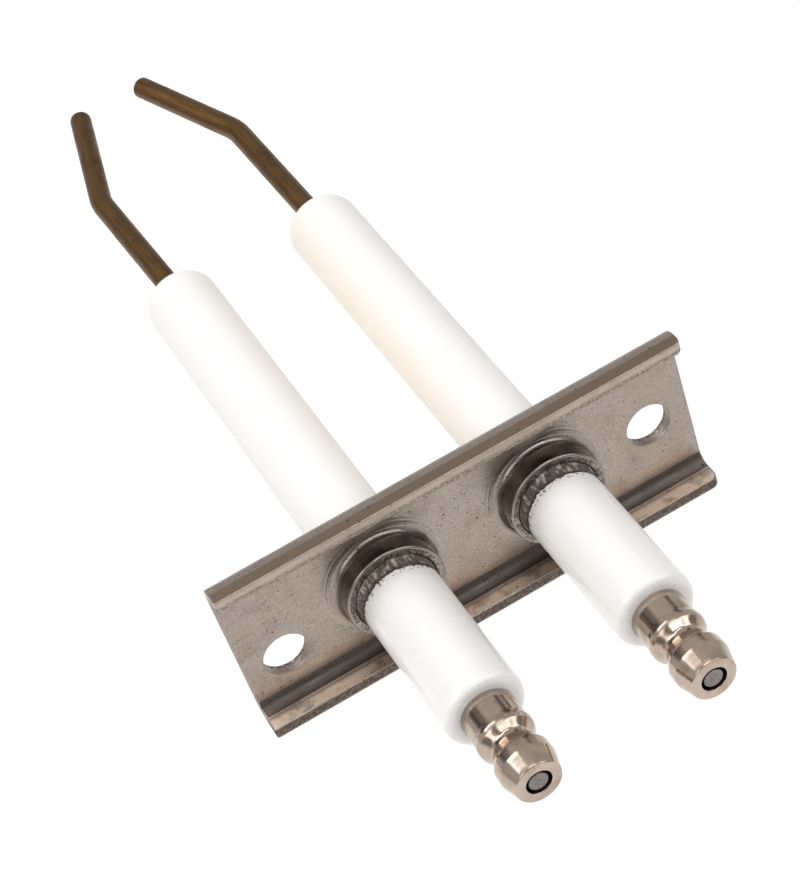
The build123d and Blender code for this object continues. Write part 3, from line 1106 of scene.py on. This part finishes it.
def makeCement(side, name, node, inner, outer, low, high, openEnd, seed):
    # a point near the open end moves inwards by rim + sink * sine across the ring + rough * noise
    shape = cementShape
    corners = [(inner, low, 0), (outer, low, 0), (outer, high, 0), (inner, high, 0)]
    profile = roundCorners(corners, step=0.12, closed=True)
    grid, around, along = lathe(profile, axisX[side], shape["turns"])
    angle = around * 2 * math.pi
    middle = np.sin(np.clip((profile[:, 0] - inner) / (outer - inner), 0, 1) * math.pi)[:, None]
    inwards = 1.0 if openEnd == low else -1.0
    near = np.clip(1 - np.abs(grid[..., 1] - openEnd) / 0.3, 0, 1)
    lumps = 0.5 + 0.5 * roughness(angle, profile[:, 0][:, None] * 0.5, seed)
    depth = shape["rim"] + middle * shape["sink"] + shape["rough"] * np.abs(lumps)
    grid[..., 1] += inwards * near * depth
    piece = gridMesh(name + side.capitalize(), [(grid, around, along, {})])
    finishPiece(piece, materials["cement"], node + "_" + side)


seeds = dict(insulator=11, packing=31, frontCement=51, stemCement=61)
for number, side in enumerate(sides):
    makeInsulator(side, seeds["insulator"] + number)
    makeRod(side)
    makeTerminal(side)
    makePacking(side, seeds["packing"] + number)
    makeCement(
        side, "frontCement", "front_cement", rodRadius, frontPocketRadius,
        frontCementLow[1], frontCementHigh[1], frontCementHigh[1], seeds["frontCement"] + number,
    )
    makeCement(
        side, "stemCement", "stem_cement", terminalShape["stemRadius"], stemBoreRadius,
        stemCementLow[1], stemCementHigh[1], stemCementLow[1], seeds["stemCement"] + number,
    )
print("stage: electrodes made")


# studio: pale floor, soft lights, camera
studio = dict(
    floorDrop=0.16,
    floorSize=6.0,
    floorColour=(0.90, 0.90, 0.90),
    worldColour=(1.0, 0.985, 0.965),
    zenith=0.62,
    backWall=0.62,
    cameraSide=0.3,
    screens=(
        dict(towards=(0.16, -0.957, 0.245), edge=(0.92, 0.95), dark=0.10),
        dict(towards=(-0.52, 0.725, 0.45), edge=(0.955, 0.972), dark=0.35),
        dict(towards=(-0.632, 0.725, 0.274), edge=(0.980, 0.990), dark=0.25),
        dict(towards=(0.553, 0.725, 0.411), edge=(0.985, 0.993), dark=0.10),
    ),
    cameraPlace=(-45.54, -193.84, 195.07),
    cameraHeading=12.41,
    cameraDip=42.07,
    cameraRoll=-20.77,
    cameraLens=103.28,
)
# across is the direction in which a lamp's width runs
lamps = [
    dict(name="keySoftbox", place=(-0.70, 0.46, 1.12), across=(0.85, 0, 0.53),
         size=(1.05, 0.38), power=9.0),
    dict(name="topSoftbox", place=(0.14, -0.14, 1.6), across=(1, 0, 0),
         size=(0.9, 0.3), power=5.0),
    dict(name="leftSoftbox", place=(-1.2, -0.6, 1.0), across=(0.45, -0.9, 0),
         size=(1.1, 1.0), power=7.5),
    dict(name="rightSoftbox", place=(1.3, -0.6, 1.1), across=(0.42, 0.9, 0),
         size=(1.1, 1.0), power=7.5),
    dict(name="cameraSoftbox", place=(0.24, -1.05, 1.0), across=(1, 0, 0),
         size=(1.1, 0.4), power=4.2),
]


def makeStudio():
    look = studio
    floorZ = bracketLow[2] * mm - look["floorDrop"]
    half = look["floorSize"] / 2
    mesh = bpy.data.meshes.new("floor")
    corners = [(x * half, y * half, floorZ) for x, y in ((-1, -1), (1, -1), (1, 1), (-1, 1))]
    mesh.from_pydata(corners, [], [(0, 1, 2, 3)])
    floor = bpy.data.objects.new("floor", mesh)
    bpy.context.scene.collection.objects.link(floor)
    material, tree, shader = newMaterial("paleFloor")
    shader.inputs["Base Color"].default_value = (*look["floorColour"], 1)
    shader.inputs["Roughness"].default_value = 0.8
    mesh.materials.append(material)
    world = bpy.data.worlds.new("studioWorld")
    world.use_nodes = True
    background = world.node_tree.nodes["Background"]
    # a bright wall behind, a darker side towards the camera, and four dark screens. A screen
    # darkens where direction dot its own direction passes the two edge values.
    sky = world.node_tree
    direction = addNode(sky, "ShaderNodeTexCoord").outputs["Generated"]
    parts = addNode(sky, "ShaderNodeSeparateXYZ", {"Vector": direction})
    low = remap(sky, parts.outputs["Y"], -0.3, 0.2, look["cameraSide"], look["backWall"])
    lean = maths(sky, "ADD", parts.outputs["Z"], times(sky, parts.outputs["Y"], 0.5))
    high = remap(sky, lean, 0.82, 0.92)
    glow = times(sky, low, maths(sky, "SUBTRACT", 1.0, high))
    glow = maths(sky, "ADD", glow, times(sky, high, look["zenith"]))
    for screen in look["screens"]:
        towards = addNode(
            sky, "ShaderNodeVectorMath", {0: direction, 1: screen["towards"]}, operation="DOT_PRODUCT"
        )
        shade = remap(sky, towards.outputs["Value"], *screen["edge"], 1.0, screen["dark"])
        glow = times(sky, glow, shade)
    sky.links.new(glow, background.inputs["Strength"])
    background.inputs["Color"].default_value = (*look["worldColour"], 1)
    bpy.context.scene.world = world
    for lamp in lamps:
        data = bpy.data.lights.new(lamp["name"], "AREA")
        data.shape = "RECTANGLE"
        data.size, data.size_y = lamp["size"]
        data.energy = lamp["power"]
        light = bpy.data.objects.new(lamp["name"], data)
        # the lamp looks at the origin; its width runs along "across", made square to its view
        back = Vector(lamp["place"]).normalized()
        wide = Vector(lamp["across"])
        wide = (wide - back * wide.dot(back)).normalized()
        turn = Matrix((wide, back.cross(wide), back)).transposed().to_4x4()
        light.matrix_world = Matrix.Translation(lamp["place"]) @ turn
        bpy.context.scene.collection.objects.link(light)


def makeCamera():
    look = studio
    heading = math.radians(look["cameraHeading"])
    dip = math.radians(look["cameraDip"])
    roll = math.radians(look["cameraRoll"])
    forward = Vector((math.sin(heading) * math.cos(dip), math.cos(heading) * math.cos(dip), -math.sin(dip)))
    level = forward.cross(Vector((0, 0, 1))).normalized()
    above = level.cross(forward)
    right = level * math.cos(roll) + above * math.sin(roll)
    up = right.cross(forward)
    turn = Matrix((right, up, -forward)).transposed().to_4x4()
    data = bpy.data.cameras.new("camera")
    data.lens = look["cameraLens"]
    data.sensor_width = 36
    data.clip_start = 0.01
    camera = bpy.data.objects.new("camera", data)
    camera.matrix_world = Matrix.Translation(Vector(look["cameraPlace"]) * mm) @ turn
    bpy.context.scene.collection.objects.link(camera)
    bpy.context.scene.camera = camera


makeStudio()
makeCamera()
bpy.context.scene.view_settings.view_transform = "Standard"
print("stage: studio made")
